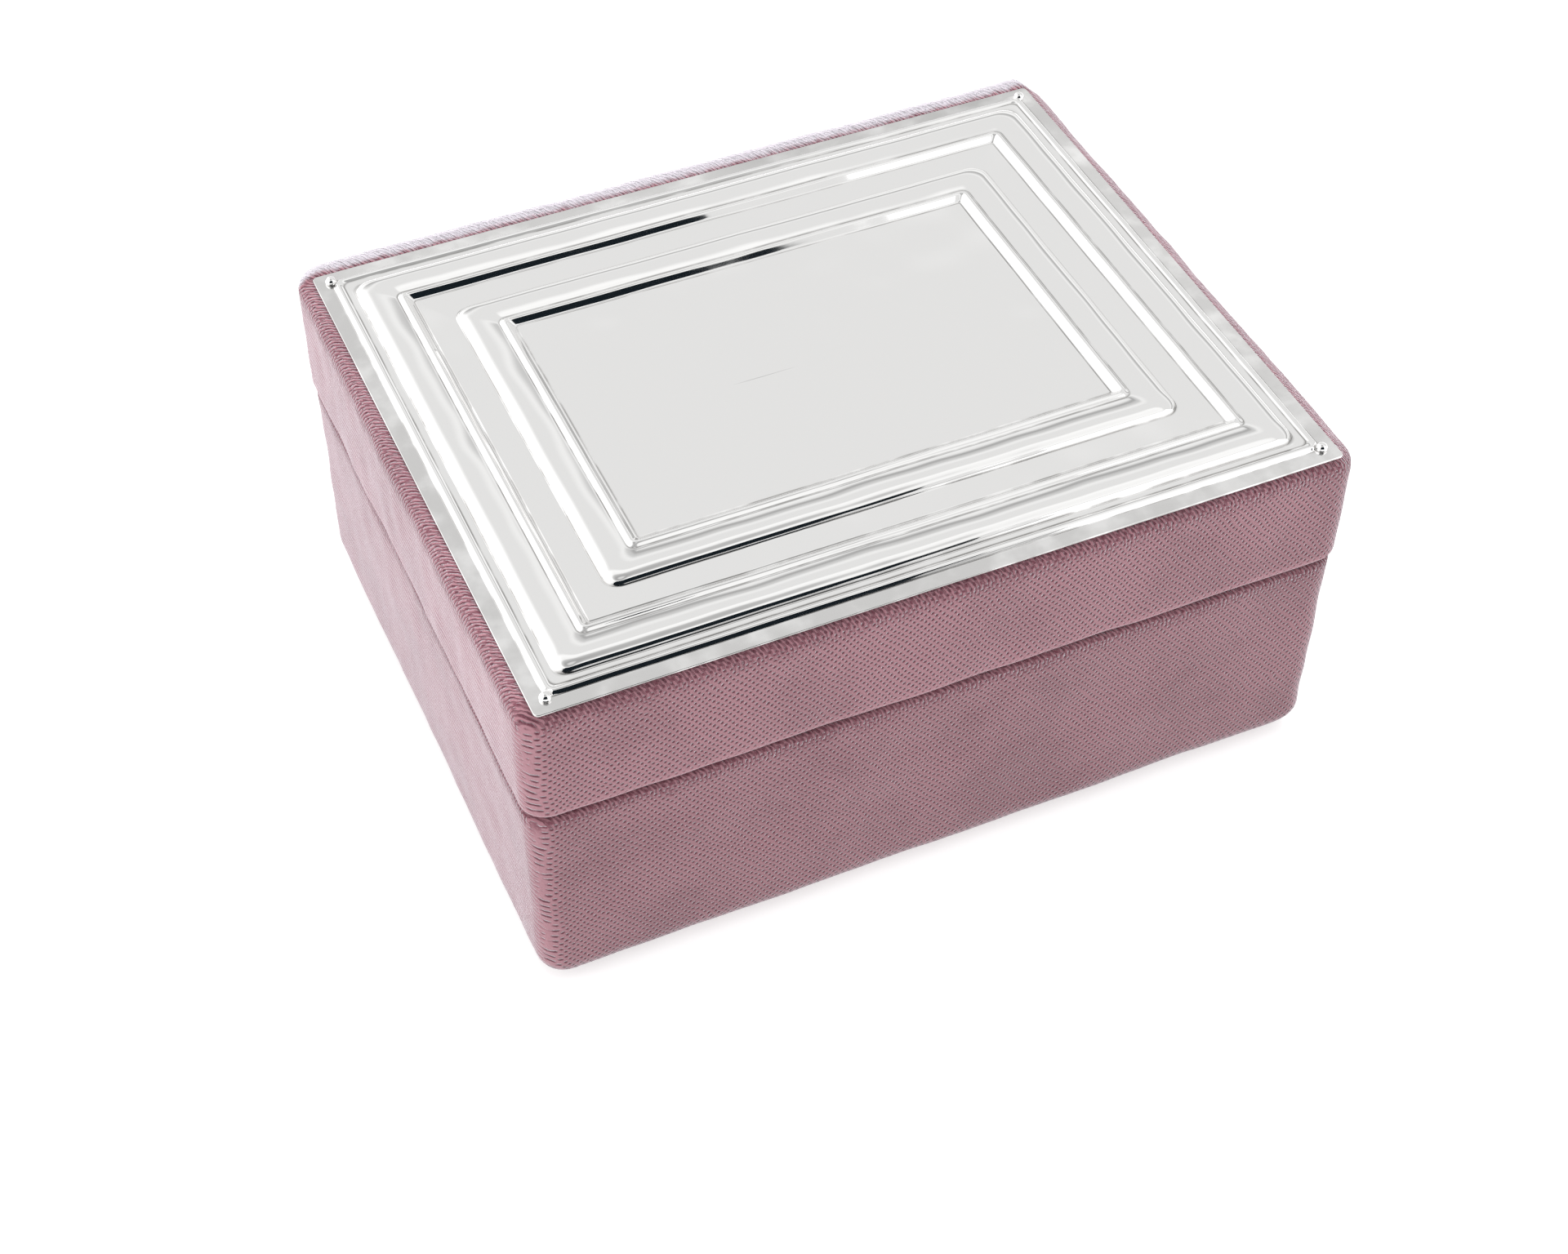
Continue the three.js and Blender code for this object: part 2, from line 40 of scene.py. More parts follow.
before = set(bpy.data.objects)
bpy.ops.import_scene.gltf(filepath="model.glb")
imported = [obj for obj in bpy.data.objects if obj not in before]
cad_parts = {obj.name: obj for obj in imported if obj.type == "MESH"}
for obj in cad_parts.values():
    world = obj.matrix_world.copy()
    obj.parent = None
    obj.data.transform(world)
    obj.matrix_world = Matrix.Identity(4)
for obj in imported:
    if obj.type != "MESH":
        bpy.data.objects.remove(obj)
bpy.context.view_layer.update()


def box(node):
    """Lowest and highest corners of a CAD node at rest, in millimetres."""
    low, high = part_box(node)
    return np.array(low) / MM, np.array(high) / MM


BASE_LOW, BASE_HIGH = box("base_velvet")
LID_LOW, LID_HIGH = box("lid_velvet")
PLATE_LOW, PLATE_HIGH = box("silver_plate")

PLATE_SIZE = PLATE_HIGH - PLATE_LOW
PLATE_MIDDLE = (PLATE_LOW + PLATE_HIGH) / 2
NAILS = [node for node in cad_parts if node.startswith("plate_nail")]
HINGE_SIDES = ("left", "right")

# ---- driving sizes (millimetres) -------------------------------------------

VELVET = 1.2  # thickness of the velvet on its boards
CORNER_RADIUS = 5.0  # upright edges
BOTTOM_FILLET = 7.0
LID_TOP_FILLET = 3.4
LID_RIM_FILLET = 1.9  # soft fold over the lid's lower edge
BASE_RIM_FILLET = 1.3
RIM_WIDTH = 6.2  # velvet on top of the walls
HEM_WIDTH = 3.6  # velvet turned under the floor
VELVET_GRAIN = 1.3  # spacing of mesh points along the velvet
BACK_PUFF = 1.3  # the velvet behind the plate swells this far above its board
END_SAG = 1.0  # and sags this far beyond the plate's right end

SHEET = 0.4  # thickness of the silver sheet
EDGE_Z = PLATE_LOW[2] + SHEET  # top of the plate's outer edge
PLATE_CENTRE = Vector((PLATE_MIDDLE[0] * MM, PLATE_MIDDLE[1] * MM, EDGE_Z * MM))
CREASE_INSETS = [3.0, 4.95, 6.4, 13.25, 16.15, 22.0, 28.85, 31.75]  # from the plate's edge
NAIL_RADIUS = 1.15
NAIL_RIM_Z = EDGE_Z + 0.16  # underside of a nail's head, just clear of the plate

CARD_EDGE = 0.45  # rounding of the lining cards' edges
LINING_EDGE = {"long_divider": 0.75, "cross_divider": 0.75, "base_felt": 0.5}
HINGE_EDGE = 0.12

CLOTH_SCALE = 10.0  # the solver behaves at this size; the result is scaled back
CLOTH_FRAMES = 20

# ---- colours and weave -----------------------------------------------------

VELVET_PILE = (0.350, 0.184, 0.212)
VELVET_PIT_SHADE = (0.120, 0.036, 0.052)  # painted shade between the tufts, in the pits, ribs and strokes
VELVET_BAND_SHADE = (0.270, 0.105, 0.135)  # painted shade under the top edge, where the pile opens over it
VELVET_PAINTED_SHEEN = (0.56, 0.53, 0.58)  # painted sheen on the top behind the plate
SILVER = (0.955, 0.95, 0.945)
# tarnish in the creases and on the flange; painted shade on the rolled edge and underside
TARNISH_AND_SHADE = (0.19, 0.18, 0.17)
FLANGE_HAZE = 0.27  # tarnish on the plate's outer flange, from 0 to 1
CREASE_TARNISH = 0.85
UNDERSIDE_PAINTED_SHADE = 0.7  # painted shade on the rolled edge and the underside, a dark line under the plate's edge
LINING_COLOR = (0.70, 0.575, 0.545)
FELT_COLOR = (0.27, 0.15, 0.175)

WEAVE_RISING = (700, 590)  # waves per metre along a side, and up it
WEAVE_FALLING = (655, 645)
RIB_SPACING = 0.0013
STROKE_SPACING = 0.00088
NOWHERE_BELOW = -1.0
NOWHERE_BEHIND = 1.0

# ---- brightness of the studio ----------------------------------------------

# The dome's brightness by elevation in degrees: an even sheet where the flats look,
# with soft darker and lighter bands elsewhere that draw streaks on the mouldings.
DOME_BANDS = [
    (0, 0.95), (7, 1.0), (9, 0.42), (11, 0.9), (16, 1.0), (21, 0.85), (25, 0.42), (29, 0.62),
    (34, 0.90), (39, 0.80), (56, 0.80), (61, 1.02), (67, 0.96), (73, 0.52), (80, 0.40), (90, 0.72),
]
DOME_SCALE = 1.8  # a colour ramp holds values up to one
DOME_LEFT_BRIGHTNESS = 1.7

# ---- camera ----------------------------------------------------------------

CAMERA_AZIMUTH = math.radians(-23.43)
CAMERA_ELEVATION = math.radians(46.15)
CAMERA_ROLL = math.radians(-0.26)
CAMERA_PLACE = Vector((-0.1652, -0.3509, 0.4147))
CAMERA_LENS = 60.79
CAMERA_SHIFT = (0.0237, -0.0187)


def make_camera():
    data = bpy.data.cameras.new("camera")
    data.sensor_width = 36
    data.lens = CAMERA_LENS
    data.shift_x, data.shift_y = CAMERA_SHIFT
    data.clip_start = 0.01
    data.clip_end = 50
    camera = bpy.data.objects.new("camera", data)
    camera.location = CAMERA_PLACE
    tilt = Matrix.Rotation(math.pi / 2 - CAMERA_ELEVATION, 4, "X")
    turn = Matrix.Rotation(CAMERA_AZIMUTH, 4, "Z")
    roll = Matrix.Rotation(CAMERA_ROLL, 4, "Z")
    camera.rotation_mode = "QUATERNION"
    camera.rotation_quaternion = (turn @ tilt @ roll).to_quaternion()
    bpy.context.collection.objects.link(camera)
    bpy.context.scene.camera = camera


# ---- studio ----------------------------------------------------------------


def direction(azimuth, elevation):
    """A unit vector; azimuth 0 is the front, 90 the box's right side, in degrees."""
    azimuth, elevation = math.radians(azimuth), math.radians(elevation)
    return Vector((
        math.sin(azimuth) * math.cos(elevation),
        -math.cos(azimuth) * math.cos(elevation),
        math.sin(elevation),
    ))


def softbox(name, azimuth, elevation, distance, size, power):
    """A rectangular light on the velvet; the silver sees the cards and the dome instead."""
    data = bpy.data.lights.new(name, "AREA")
    data.shape = "RECTANGLE"
    data.size, data.size_y = size
    data.energy = power
    light = bpy.data.objects.new(name, data)
    towards = direction(azimuth, elevation)
    light.location = PLATE_CENTRE + towards * distance
    light.rotation_mode = "QUATERNION"
    light.rotation_quaternion = (-towards).to_track_quat("-Z", "Y")
    light.visible_camera = False
    light.visible_glossy = False
    bpy.context.collection.objects.link(light)


def card(name, corners, brightness, distance=1.6):
    """A flat card that only reflections see; its corners are (azimuth, elevation) from the plate."""
    mesh = bpy.data.meshes.new(name)
    points = [PLATE_CENTRE + direction(*corner) * distance for corner in corners]
    mesh.from_pydata(points, [], [tuple(range(len(points)))])
    obj = bpy.data.objects.new(name, mesh)
    obj.visible_camera = False
    obj.visible_diffuse = False
    obj.visible_shadow = False
    material = bpy.data.materials.new(name)
    material.use_nodes = True
    nodes = material.node_tree.nodes
    nodes.clear()
    emission = nodes.new("ShaderNodeEmission")
    emission.inputs["Color"].default_value = (*brightness, 1)
    output = nodes.new("ShaderNodeOutputMaterial")
    material.node_tree.links.new(emission.outputs[0], output.inputs["Surface"])
    mesh.materials.append(material)
    bpy.context.collection.objects.link(obj)


def dome_bands(tree, height):
    """The dome's brightness by elevation, from the height on the unit sphere."""
    bands = tree.nodes.new("ShaderNodeValToRGB")
    bands.color_ramp.interpolation = "EASE"
    elements = bands.color_ramp.elements
    while len(elements) > 1:
        elements.remove(elements[-1])
    for order, (elevation, brightness) in enumerate(DOME_BANDS):
        position = math.sin(math.radians(elevation))
        element = elements[0] if order == 0 else elements.new(position)
        element.position = position
        level = brightness / DOME_SCALE
        element.color = (level, level, level * 0.995, 1)
    tree.links.new(height, bands.inputs["Fac"])
    return bands.outputs["Color"]


def dome_lobe(tree, place, towards, wide, narrow):
    """1 within narrow degrees of a direction, 0 beyond wide degrees."""
    dot = tree.nodes.new("ShaderNodeVectorMath")
    dot.operation = "DOT_PRODUCT"
    dot.inputs[1].default_value = towards
    tree.links.new(place, dot.inputs[0])
    lobe = tree.nodes.new("ShaderNodeMapRange")
    lobe.interpolation_type = "SMOOTHSTEP"
    lobe.inputs["From Min"].default_value = math.cos(math.radians(wide))
    lobe.inputs["From Max"].default_value = math.cos(math.radians(narrow))
    tree.links.new(dot.outputs["Value"], lobe.inputs["Value"])
    return lobe.outputs[0]


def make_dome():
    """A banded white dome, brighter towards the left."""
    world = bpy.data.worlds.new("studio")
    world.use_nodes = True
    tree = world.node_tree
    place = tree.nodes.new("ShaderNodeTexCoord").outputs["Generated"]
    parts = tree.nodes.new("ShaderNodeSeparateXYZ")
    tree.links.new(place, parts.inputs[0])
    glow = tree.nodes.new("ShaderNodeMix")
    glow.data_type = "RGBA"
    left = DOME_LEFT_BRIGHTNESS / DOME_SCALE
    glow.inputs["B"].default_value = (left, left, left, 1)
    tree.links.new(dome_lobe(tree, place, direction(-118, 12), 66, 30), glow.inputs["Factor"])
    tree.links.new(dome_bands(tree, parts.outputs["Z"]), glow.inputs["A"])
    background = tree.nodes["Background"]
    background.inputs["Strength"].default_value = DOME_SCALE
    tree.links.new(glow.outputs["Result"], background.inputs["Color"])
    bpy.context.scene.world = world


def make_floor():
    mesh = bpy.data.meshes.new("floor")
    reach = 6.0
    corners = [(-reach, -reach, 0), (reach, -reach, 0), (reach, reach, 0), (-reach, reach, 0)]
    mesh.from_pydata(corners, [], [(0, 1, 2, 3)])
    floor = bpy.data.objects.new("floor", mesh)
    material = bpy.data.materials.new("floor")
    material.use_nodes = True
    shader = material.node_tree.nodes["Principled BSDF"]
    shader.inputs["Base Color"].default_value = (0.45, 0.45, 0.45, 1)
    shader.inputs["Roughness"].default_value = 0.9
    shader.inputs["Emission Color"].default_value = (1, 1, 1, 1)
    shader.inputs["Emission Strength"].default_value = 0.62
    mesh.materials.append(material)
    bpy.context.collection.objects.link(floor)


def make_studio():
    make_dome()
    make_floor()
    bpy.context.scene.view_settings.view_transform = "Standard"
    softbox("left_softbox", -105, 25, 1.4, (1.0, 1.0), 2.5)
    softbox("top_softbox", 20, 75, 1.5, (1.2, 1.2), 12)
    softbox("back_softbox", 172, 28, 1.4, (1.0, 1.0), 26)
    card("dark_front", [(-55, 13), (17, 13), (33, 50), (26, 58), (-50, 60)], (0.008, 0.012, 0.016))
    card("white_right", [(19, 2), (78, 2), (78, 52), (38, 52)], (1.5, 1.5, 1.5))


# ---- materials -------------------------------------------------------------


class Nodes:
    """A small helper that wires one material's nodes."""

    def __init__(self, name):
        self.material = bpy.data.materials.new(name)
        self.material.use_nodes = True
        self.tree = self.material.node_tree
        self.shader = self.tree.nodes["Principled BSDF"]

    def add(self, kind, inputs=(), **settings):
        node = self.tree.nodes.new(kind)
        for key, value in settings.items():
            setattr(node, key, value)
        for key, value in dict(inputs).items():
            self.feed(node.inputs[key], value)
        return node

    def feed(self, socket, value):
        if isinstance(value, bpy.types.NodeSocket):
            self.tree.links.new(value, socket)
        else:
            socket.default_value = value

    def math(self, operation, a, b=0.0, clamp=False):
        node = self.add("ShaderNodeMath", operation=operation, use_clamp=clamp)
        self.feed(node.inputs[0], a)
        self.feed(node.inputs[1], b)
        return node.outputs[0]

    def ramp(self, value, low, high):
        """0 at low, 1 at high, smooth between them."""
        node = self.add("ShaderNodeMapRange", interpolation_type="SMOOTHSTEP")
        self.feed(node.inputs["Value"], value)
        node.inputs["From Min"].default_value = low
        node.inputs["From Max"].default_value = high
        return node.outputs[0]

    def mix(self, amount, a, b):
        node = self.add("ShaderNodeMix", data_type="RGBA")
        self.feed(node.inputs["Factor"], amount)
        self.feed(node.inputs["A"], a)
        self.feed(node.inputs["B"], b)
        return node.outputs["Result"]

    def noise(self, vector, scale, detail=2.0, roughness=0.5):
        node = self.add("ShaderNodeTexNoise", {"Scale": scale, "Detail": detail, "Roughness": roughness})
        self.feed(node.inputs["Vector"], vector)
        return node.outputs["Fac"]

    def place(self):
        """The point's place in the object, in metres."""
        return self.add("ShaderNodeTexCoord").outputs["Object"]

    def stretched(self, vector, scale):
        return self.add("ShaderNodeMapping", {"Vector": vector, "Scale": scale}).outputs[0]

    def parts(self, vector):
        node = self.add("ShaderNodeSeparateXYZ", {"Vector": vector})
        return node.outputs["X"], node.outputs["Y"], node.outputs["Z"]

    def bump(self, height, strength, distance, normal=None):
        node = self.add("ShaderNodeBump", {"Height": height, "Strength": strength, "Distance": distance})
        if normal is not None:
            self.feed(node.inputs["Normal"], normal)
        return node.outputs["Normal"]

    def set(self, **values):
        for key, value in values.items():
            self.feed(self.shader.inputs[key.replace("_", " ")], value)


def rgb(red, green, blue):
    return (red, green, blue, 1.0)


def silver_material():
    """Polished silver; "crease" values darken it: tarnish on top, painted shade on the edge and
    underside.
    """
    m = Nodes("silver")
    place = m.place()
    haze = m.noise(place, 90, 4)
    scratches = m.noise(m.stretched(place, (1, 6, 1)), 500, 3)
    crease = m.add("ShaderNodeAttribute", attribute_name="crease").outputs["Fac"]
    patchy = m.math("MULTIPLY", crease, m.ramp(m.noise(place, 130, 3), 0.25, 0.6), clamp=True)
    roughness = m.math("ADD", m.math("MULTIPLY", haze, 0.05), m.math("MULTIPLY", scratches, 0.03))
    roughness = m.math("ADD", roughness, m.math("MULTIPLY", patchy, 0.2))
    color = m.mix(patchy, rgb(*SILVER), rgb(*TARNISH_AND_SHADE))
    m.set(Base_Color=color, Metallic=1.0, Roughness=roughness)
    m.set(Normal=m.bump(m.noise(place, 60, 1), 0.07, 0.0004))
    return m.material


def slanting_wave(m, along, up, counts, join):
    """A sine over a side; counts are its waves per metre along the side and up it."""
    across = m.math("MULTIPLY", along, counts[0] * 2 * math.pi)
    upwards = m.math("MULTIPLY", up, counts[1] * 2 * math.pi)
    return m.math("SINE", m.math(join, across, upwards))


def pits_and_ribs(m, place, along, z, on_end):
    """A slanting grid of small pits on the front and back, fine level ribs on the ends."""
    drift = m.math("MULTIPLY", m.noise(place, 220, 2), 0.0012)
    along = m.math("ADD", along, drift)
    up = m.math("ADD", z, drift)
    first = slanting_wave(m, along, up, WEAVE_RISING, "ADD")
    second = slanting_wave(m, along, up, WEAVE_FALLING, "SUBTRACT")
    weave = m.math("MULTIPLY", m.math("ADD", first, second), 0.5)
    on_front = m.math("SUBTRACT", 1.0, on_end)
    pits = m.math("MULTIPLY", m.ramp(weave, 0.05, 0.85), on_front)
    ribs = m.math("SINE", m.math("MULTIPLY", up, 2 * math.pi / RIB_SPACING))
    ribs = m.math("MULTIPLY", m.ramp(ribs, 0.0, 1.0), m.math("MULTIPLY", on_end, 0.35))
    return m.math("MAXIMUM", pits, ribs)


def open_pile(m, place, along, height, band_top, band_depth):
    """How far the pile opens under band_top, which also sets where painted shade falls under the edge,
    and the upright strokes it opens in.
    """
    shade_band = m.ramp(height, band_top - band_depth, band_top - band_depth * 0.25)
    unevenness = m.math("MULTIPLY", m.noise(place, 700, 1), 6.0)
    phase = m.math("ADD", m.math("MULTIPLY", along, 2 * math.pi / STROKE_SPACING), unevenness)
    strokes = m.math("MULTIPLY", shade_band, m.ramp(m.math("SINE", phase), -0.3, 0.9))
    return shade_band, strokes


def pile_color(m, place, tone):
    """The pile's own colour, darker in patches as it was last stroked."""
    pile = rgb(*(tone * value for value in VELVET_PILE))
    brushed = rgb(*(0.84 * tone * value for value in VELVET_PILE))
    return m.mix(m.ramp(m.noise(place, 42, 3, 0.62), 0.40, 0.68), pile, brushed)


def painted_back_sheen(m, color, y, wobble, normal_z, sheen_from):
    """Painted sheen: the upward-facing top behind the given y is painted pale."""
    uneven_y = m.math("ADD", y, m.math("MULTIPLY", wobble, 0.25))
    behind = m.ramp(uneven_y, sheen_from + 0.0002, sheen_from + 0.0014)
    pale = m.math("MULTIPLY", behind, m.ramp(normal_z, 0.15, 0.5))
    return m.mix(m.math("MULTIPLY", pale, 0.9), color, rgb(*VELVET_PAINTED_SHEEN))


def velvet_finish(m, color, relief):
    m.set(Base_Color=color, Roughness=0.9)
    m.shader.inputs["Sheen Weight"].default_value = 0.95
    m.shader.inputs["Sheen Roughness"].default_value = 0.30
    m.shader.inputs["Sheen Tint"].default_value = rgb(0.94, 0.95, 1.0)
    m.shader.inputs["Specular IOR Level"].default_value = 0.1
    m.set(Normal=m.bump(relief, 0.8, 0.00030))


def velvet_material(name, tone, band_top, band_depth, rim_low, sheen_from):
    """Dusty pink velvet.

    Under band_top the pile opens in short upright strokes, with painted shade in a strip under that edge
    and in the gaps between tufts and strokes; just above rim_low it is rolled smooth and paler, and
    the upright corners get a painted highlight. On top, behind a given y, a painted sheen makes it
    pale. All in metres.
    """
    m = Nodes(name)
    coordinates = m.add("ShaderNodeTexCoord")
    place = coordinates.outputs["Object"]
    x, y, z = m.parts(place)
    along = m.math("ADD", x, y)
    normal_x, normal_y, normal_z = m.parts(coordinates.outputs["Normal"])
    end = m.math("ABSOLUTE", normal_x)
    # Where the upright corners get a painted highlight.
    corner_highlight = m.ramp(m.math("MULTIPLY", end, m.math("ABSOLUTE", normal_y)), 0.0, 0.5)
    wobble = m.math("MULTIPLY", m.math("SUBTRACT", m.noise(place, 420, 2), 0.5), 0.0045)
    shade_band, strokes = open_pile(m, place, along, m.math("ADD", z, wobble), band_top, band_depth)
    rim = m.math("SUBTRACT", 1.0, m.ramp(z, rim_low + 0.0012, rim_low + 0.0032))
    texture = pits_and_ribs(m, place, along, z, m.ramp(end, 0.75, 0.97))
    texture = m.math("MULTIPLY", texture, m.math("SUBTRACT", 1.0, m.math("MULTIPLY", rim, 0.8)))
    fine = m.noise(place, 2600, 2)

    # Painted shade between the tufts.
    pit_shade = rgb(*VELVET_PIT_SHADE)
    # Paler pile, for the lid's rolled rim and the fine speckle, and as a painted highlight on the upright
    # corners.
    light = rgb(*(1.16 * value for value in VELVET_PILE))
    pale_rim_and_corner_highlight = m.math("MAXIMUM", rim, m.math("MULTIPLY", corner_highlight, 0.55))
    color = m.mix(pale_rim_and_corner_highlight, pile_color(m, place, tone), light)
    # Painted shade in the weave's pits and ribs.
    color = m.mix(m.math("MULTIPLY", texture, 1.0, clamp=True), color, pit_shade)
    # Painted shade in a strip under the top edge, and in the gaps of the upright strokes.
    color = m.mix(m.math("MULTIPLY", shade_band, 0.3), color, rgb(*VELVET_BAND_SHADE))
    color = m.mix(m.math("MULTIPLY", strokes, 0.6), color, pit_shade)
    color = m.mix(m.math("MULTIPLY", m.ramp(fine, 0.55, 0.75), 0.35), color, light)
    # Painted sheen on the top behind the given y (the plate's back edge on the lid).
    color = painted_back_sheen(m, color, y, wobble, normal_z, sheen_from)
    relief = m.math("ADD", m.math("MULTIPLY", texture, -1.0), m.math("MULTIPLY", fine, 0.6))
    relief = m.math("SUBTRACT", relief, m.math("MULTIPLY", strokes, 1.2))
    velvet_finish(m, color, relief)
    return m.material


def nap_material(name, color, grain, sheen):
    """Suede-like lining or felt: soft mottling, a fine grain and a short nap."""
    m = Nodes(name)
    place = m.place()
    shade = rgb(*(0.80 * value for value in color))
    mottled = m.mix(m.ramp(m.noise(place, 60, 4, 0.6), 0.35, 0.70), rgb(*color), shade)
    fibres = m.noise(place, grain, 4, 0.7)
    m.set(Base_Color=m.mix(m.math("MULTIPLY", m.ramp(fibres, 0.45, 0.75), 0.35), mottled, shade))
    m.set(Roughness=0.95)
    m.shader.inputs["Sheen Weight"].default_value = sheen
    m.shader.inputs["Sheen Roughness"].default_value = 0.4
    m.shader.inputs["Specular IOR Level"].default_value = 0.15
    m.set(Normal=m.bump(fibres, 0.5, 0.00015))
    return m.material


def wood_material():
    """Raw light plywood; the grain runs along X."""
    m = Nodes("board")
    grain = m.noise(m.stretched(m.place(), (0.08, 1, 1)), 420, 5, 0.6)
    m.set(Base_Color=m.mix(m.ramp(grain, 0.3, 0.7), rgb(0.66, 0.47, 0.27), rgb(0.47, 0.30, 0.16)))
    m.set(Roughness=0.7, Normal=m.bump(grain, 0.3, 0.0002))
    return m.material


def filler_material():
    m = Nodes("backing")
    speckle = m.noise(m.place(), 700, 3)
    m.set(Base_Color=m.mix(speckle, rgb(0.20, 0.20, 0.195), rgb(0.13, 0.13, 0.125)), Roughness=0.85)
    return m.material


def brass_material():
    m = Nodes("brass")
    place = m.place()
    brushed = m.noise(m.stretched(place, (0.1, 1, 1)), 1500, 3)
    tarnish = m.ramp(m.noise(place, 260, 4), 0.45, 0.8)
    color = m.mix(m.math("MULTIPLY", tarnish, 0.5), rgb(0.86, 0.63, 0.28), rgb(0.48, 0.31, 0.12))
    m.set(Base_Color=color)
    m.set(Metallic=1.0, Roughness=m.math("ADD", 0.14, m.math("MULTIPLY", brushed, 0.16)))
    return m.material


def mirror_material():
    m = Nodes("mirror")
    haze = m.noise(m.place(), 40, 3)
    m.set(Base_Color=rgb(0.93, 0.95, 0.95), Metallic=1.0, Roughness=m.math("MULTIPLY", haze, 0.03))
    return m.material


# ---- mesh helpers ----------------------------------------------------------


def rounded_ring(width, depth, radius, straight, corner):
    """Points of a rounded rectangle: `straight` intervals on each side, `corner` on each corner."""
    radius = max(radius, 1e-3)
    half = np.array([width / 2 - radius, depth / 2 - radius])
    points = []
    signs = [(1, 1), (-1, 1), (-1, -1), (1, -1)]
    for quarter, sign in enumerate(signs):
        centre = half * sign
        angles = (quarter + np.linspace(0, 1, corner + 1)) * math.pi / 2
        arc = centre + radius * np.stack([np.cos(angles), np.sin(angles)], 1)
        points.extend(arc)
        following = half * signs[(quarter + 1) % 4]
        start = arc[-1]
        end = following + radius * np.array([math.cos(angles[-1]), math.sin(angles[-1])])
        steps = np.linspace(0, 1, straight + 1)[1:-1, None]
        points.extend(start + (end - start) * steps)
    return np.array(points)


def loft(sections, straight, corner, closed=False):
    """Vertices and faces through rounded rectangles (width, depth, radius, z), in millimetres."""
    rings = [
        np.column_stack([ring, np.full(len(ring), z)])
        for ring, z in ((rounded_ring(w, d, r, straight, corner), z) for w, d, r, z in sections)
    ]
    count = len(rings[0])
    faces = []
    pairs = len(rings) if closed else len(rings) - 1
    side = np.arange(count)
    following = (side + 1) % count
    for ring in range(pairs):
        a = ring * count
        b = (ring + 1) % len(rings) * count
        faces.append(np.stack([a + side, a + following, b + following, b + side], 1))
    faces = np.concatenate(faces).tolist()
    if not closed:
        faces.append(list(range(count))[::-1])
        faces.append([(len(rings) - 1) * count + i for i in range(count)])
    return np.concatenate(rings), faces


def new_object(name, points, faces, material, smooth=True):
    """A mesh object from points in millimetres."""
    mesh = bpy.data.meshes.new(name)
    mesh.from_pydata((np.asarray(points) * MM).tolist(), [], faces)
    mesh.materials.append(material)
    mesh.polygons.foreach_set("use_smooth", [smooth] * len(mesh.polygons))
    mesh.update()
    obj = bpy.data.objects.new(name, mesh)
    bpy.context.collection.objects.link(obj)
    return obj


def read_points(obj):
    """A mesh's points, in millimetres."""
    points = np.empty(len(obj.data.vertices) * 3)
    obj.data.vertices.foreach_get("co", points)
    return points.reshape(-1, 3) / MM


def write_points(obj, points):
    obj.data.vertices.foreach_set("co", (points * MM).ravel())


class Ripples:
    """A smooth seeded field of gentle waves over the plane or over space."""

    def __init__(self, seed, wavelength, count=14):
        random = np.random.default_rng(seed)
        directions = random.normal(size=(count, 3))
        directions /= np.linalg.norm(directions, axis=1)[:, None]
        lengths = wavelength * random.uniform(0.7, 1.6, count)
        self.waves = directions * (2 * math.pi / lengths)[:, None]
        self.phases = random.uniform(0, 2 * math.pi, count)
        self.gain = math.sqrt(2 / count)

    def __call__(self, points):
        return np.sin(points @ self.waves.T + self.phases).sum(1) * self.gain


def arc_steps(count):
    return np.linspace(0, 1, count + 1) * math.pi / 2


# ---- velvet covers ---------------------------------------------------------


def shell_sections(low, high, path):
    """Sections from (inset, z, corner radius) points, between a cover's corners."""
    width, depth = (high - low)[:2]
    return [(width - 2 * inset, depth - 2 * inset, radius, z) for inset, z, radius in path]


def rounded_edge(inset, z, fillet, start, steps, corner):
    """A quarter round: start is 'bottom' (turning up) or 'top' (turning in)."""
    points = []
    for angle in arc_steps(steps):
        if start == "bottom":
            inwards, up = 1 - math.sin(angle), 1 - math.cos(angle)
        else:
            inwards, up = 1 - math.cos(angle), math.sin(angle) - 1
        points.append((inset + fillet * inwards, z + fillet * up, corner))
    return points


def straight_run(start, end, spacing):
    """Points between two path points, without the ends."""
    start, end = np.array(start), np.array(end)
    steps = max(int(np.linalg.norm((end - start)[:2]) / spacing), 1)
    return [tuple(start + (end - start) * step / steps) for step in range(1, steps)]


def join_runs(runs, spacing):
    """One path through runs of points, with straight stretches filled in between them."""
    path = list(runs[0])
    for run in runs[1:]:
        path.extend(straight_run(path[-1], run[0], spacing))
        path.extend(run)
    return path


def velvet_shell(name, low, high, runs, material, seed):
    path = join_runs(runs, VELVET_GRAIN * 1.3)
    size = high - low
    straight = int(size[0] / VELVET_GRAIN)
    points, faces = loft(shell_sections(low, high, path), straight, 8, closed=True)
    centre = (low + high) / 2
    outwards = points - [0, 0, centre[2]]
    soft = Ripples(seed, 26)(points) * 0.10 + Ripples(seed + 1, 9)(points) * 0.05
    lengths = np.linalg.norm(outwards, axis=1)[:, None]
    points = points + outwards / lengths * soft[:, None]
    return new_object(name, points, faces, material)


def base_cover(material):
    low, high = BASE_LOW, BASE_HIGH
    z0, z1 = low[2], high[2]
    inner = VELVET
    runs = [
        [(BOTTOM_FILLET + HEM_WIDTH, z0, CORNER_RADIUS)],
        rounded_edge(0, z0, BOTTOM_FILLET, "bottom", 10, CORNER_RADIUS),
        rounded_edge(0, z1, BASE_RIM_FILLET, "top", 6, CORNER_RADIUS),
        [(RIM_WIDTH, z1, 0.6)],
        [(RIM_WIDTH, z1 - inner, 0.6)],
        [(inner + 0.2, z1 - inner, CORNER_RADIUS - inner)],
        rounded_edge(inner, z0 + inner, BOTTOM_FILLET - inner, "bottom", 6, CORNER_RADIUS - inner)[::-1],
        [(BOTTOM_FILLET + HEM_WIDTH, z0 + inner, CORNER_RADIUS)],
    ]
    return velvet_shell("velvet_base", low, high, runs, material, 3)


